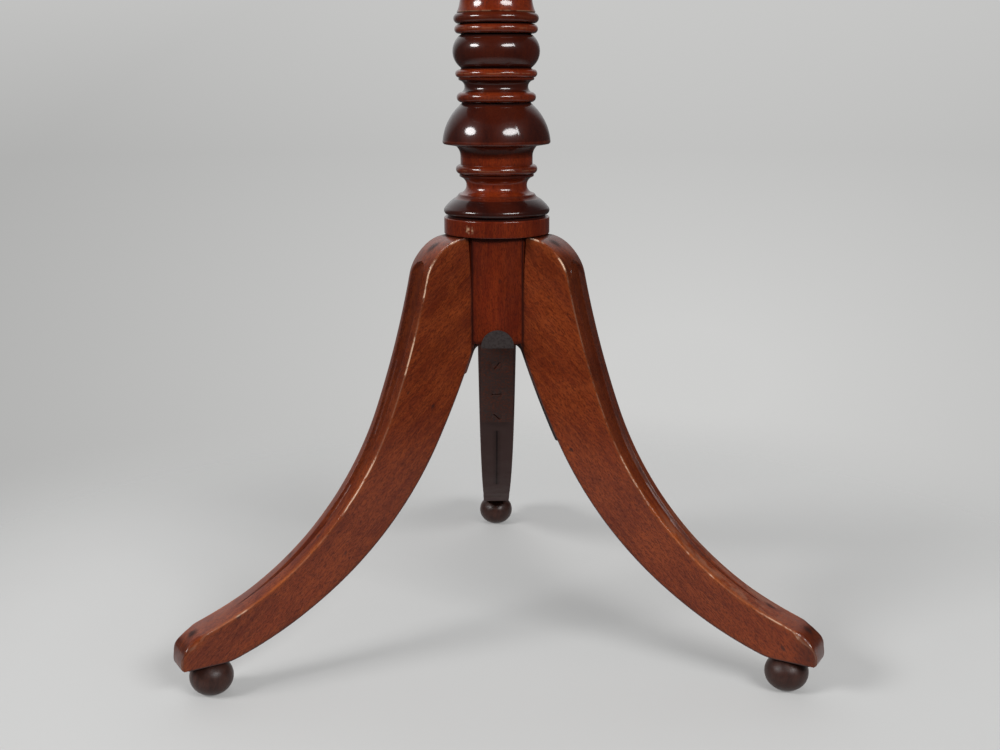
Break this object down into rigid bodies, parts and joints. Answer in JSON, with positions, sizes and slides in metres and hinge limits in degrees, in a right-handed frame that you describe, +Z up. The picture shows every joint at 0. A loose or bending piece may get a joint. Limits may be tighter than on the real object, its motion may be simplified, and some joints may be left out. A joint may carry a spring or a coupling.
{
  "type": "tilt top table",
  "caption": "Round tilt-top tripod table on a ring-turned pillar, with carved down-swept legs, ball feet, a top that tilts upright on pintles and a spring catch.",
  "frame": {"origin": "on the floor, on the pillar's axis", "axes": "+Z up along the pillar; -Y is the front, between two legs, and the side that the tilted top faces; +Y runs along the back leg"},
  "size_m": [0.61, 0.61, 0.735],
  "materials": {
    "mahogany_turned": "French-polished mahogany, glossy",
    "mahogany_legs": "French-polished mahogany, glossy, worn lighter on the edges",
    "mahogany_top": "French-polished mahogany, glossy",
    "mahogany_plain": "waxed mahogany, satin",
    "dark_feet": "dark stained, satin",
    "oak": "dull, end grain showing",
    "iron": "blackened wrought iron, dull",
    "steel": "aged steel",
    "brass": "aged brass, satin"
  },
  "bodies": {
    "base": {"pillar": "mahogany_turned", "leg_front_left": "mahogany_legs", "leg_front_right": "mahogany_legs", "leg_back": "mahogany_legs", "foot_front_left": "dark_feet", "foot_front_right": "dark_feet", "foot_back": "dark_feet", "spider_plate": "iron", "spider_screws": "iron", "pillar_block": "mahogany_plain", "tenon_wedge": "oak", "strike_plate": "brass", "strike_screws": "brass"},
    "top": {"table_top": "mahogany_top", "batten_left": "mahogany_plain", "batten_right": "mahogany_plain", "batten_screws": "steel", "catch_case": "brass", "catch_spring": "steel", "catch_screws": "brass"},
    "bolt": {"catch_bolt": "brass", "catch_knob": "brass"}
  },
  "joints": [
    {"name": "top_tilt", "type": "hinge", "parent": "base", "child": "top", "pos_m": [0, -0.06, 0.6967], "axis": [1, 0, 0], "range_deg": [0, 90]},
    {"name": "catch_slide", "type": "slide", "parent": "top", "child": "bolt", "axis": [0, -1, 0], "range_m": [0, 0.0048], "stiffness_N_per_m": 250, "springref_m": 0.014, "deforming": ["catch_spring"]}
  ]
}
